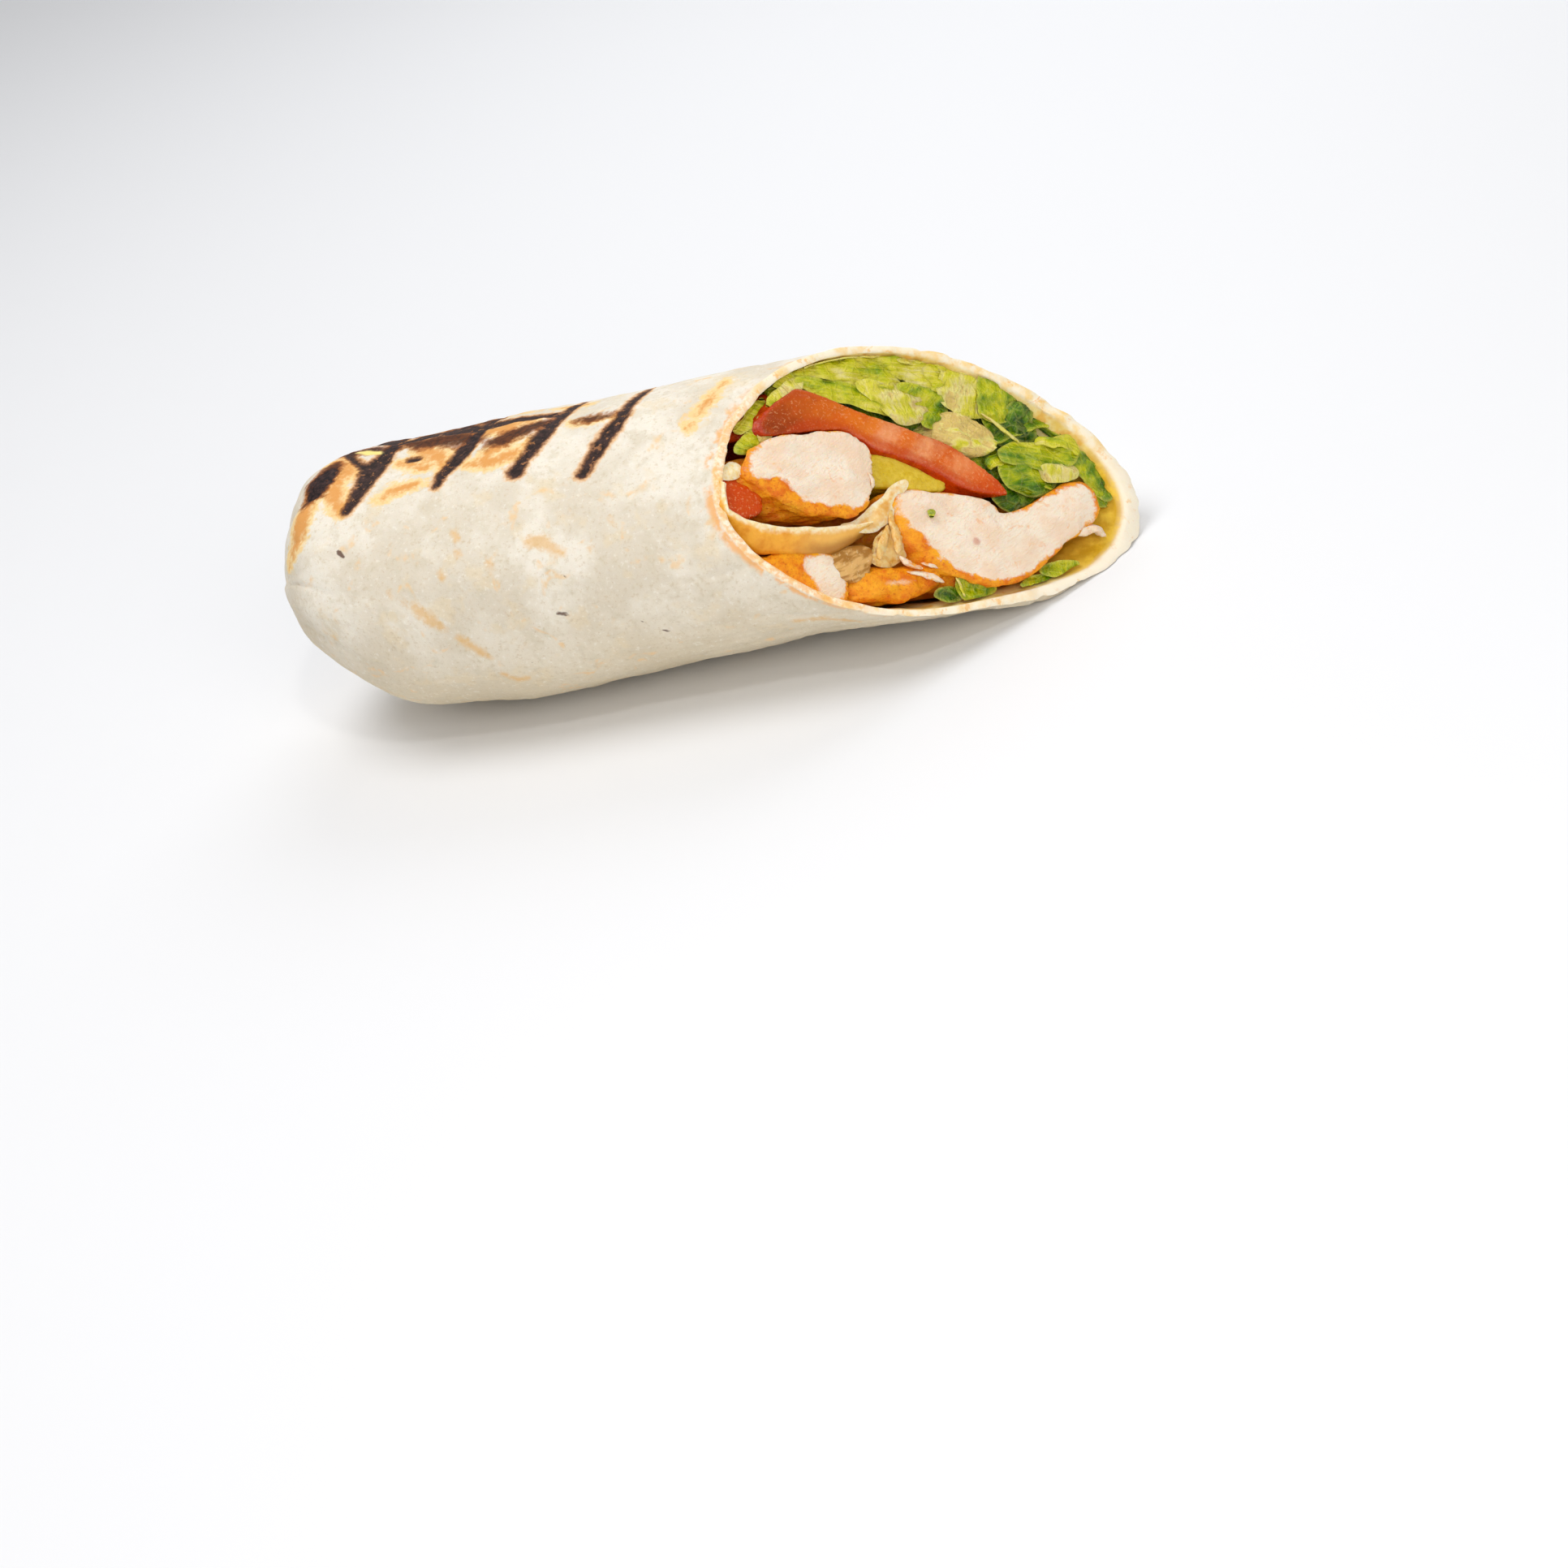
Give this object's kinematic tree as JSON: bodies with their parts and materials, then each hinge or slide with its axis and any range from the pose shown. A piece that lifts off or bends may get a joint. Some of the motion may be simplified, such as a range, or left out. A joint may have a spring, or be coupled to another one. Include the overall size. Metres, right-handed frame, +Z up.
{
  "type": "chicken doner wrap half",
  "caption": "Half of a grilled flatbread wrap cut on the slant, its closed end folded and charred, its cut face showing chicken, tomato, pickle and salad.",
  "frame": {"origin": "middle of the wrap's box in plan, at the surface that the wrap lies on", "axes": "+X along the wrap from its folded end towards its cut end, +Z up"},
  "size_m": [0.1596, 0.059, 0.0527],
  "materials": {
    "tortilla": "matte, soft baked flour skin with char marks",
    "chicken": "satin, moist cut meat",
    "seared_chicken": "satin, oily spiced crust",
    "tomato": "glossy, wet",
    "pickle": "glossy, wet",
    "lettuce": "satin, crisp leaf",
    "onion": "satin, half clear"
  },
  "bodies": {
    "root": {"tortilla": "tortilla", "chicken_left": "chicken", "chicken_right": "chicken", "chicken_low_left": "chicken", "chicken_low_mid": "seared_chicken", "tomato_slice": "tomato", "tomato_bit": "tomato", "pickle_slice": "pickle", "onion_slice": "onion", "onion_strand": "onion", "lettuce_left": "lettuce", "lettuce_low": "lettuce", "lettuce_right": "lettuce", "salad_heap": "lettuce"}
  },
  "joints": []
}
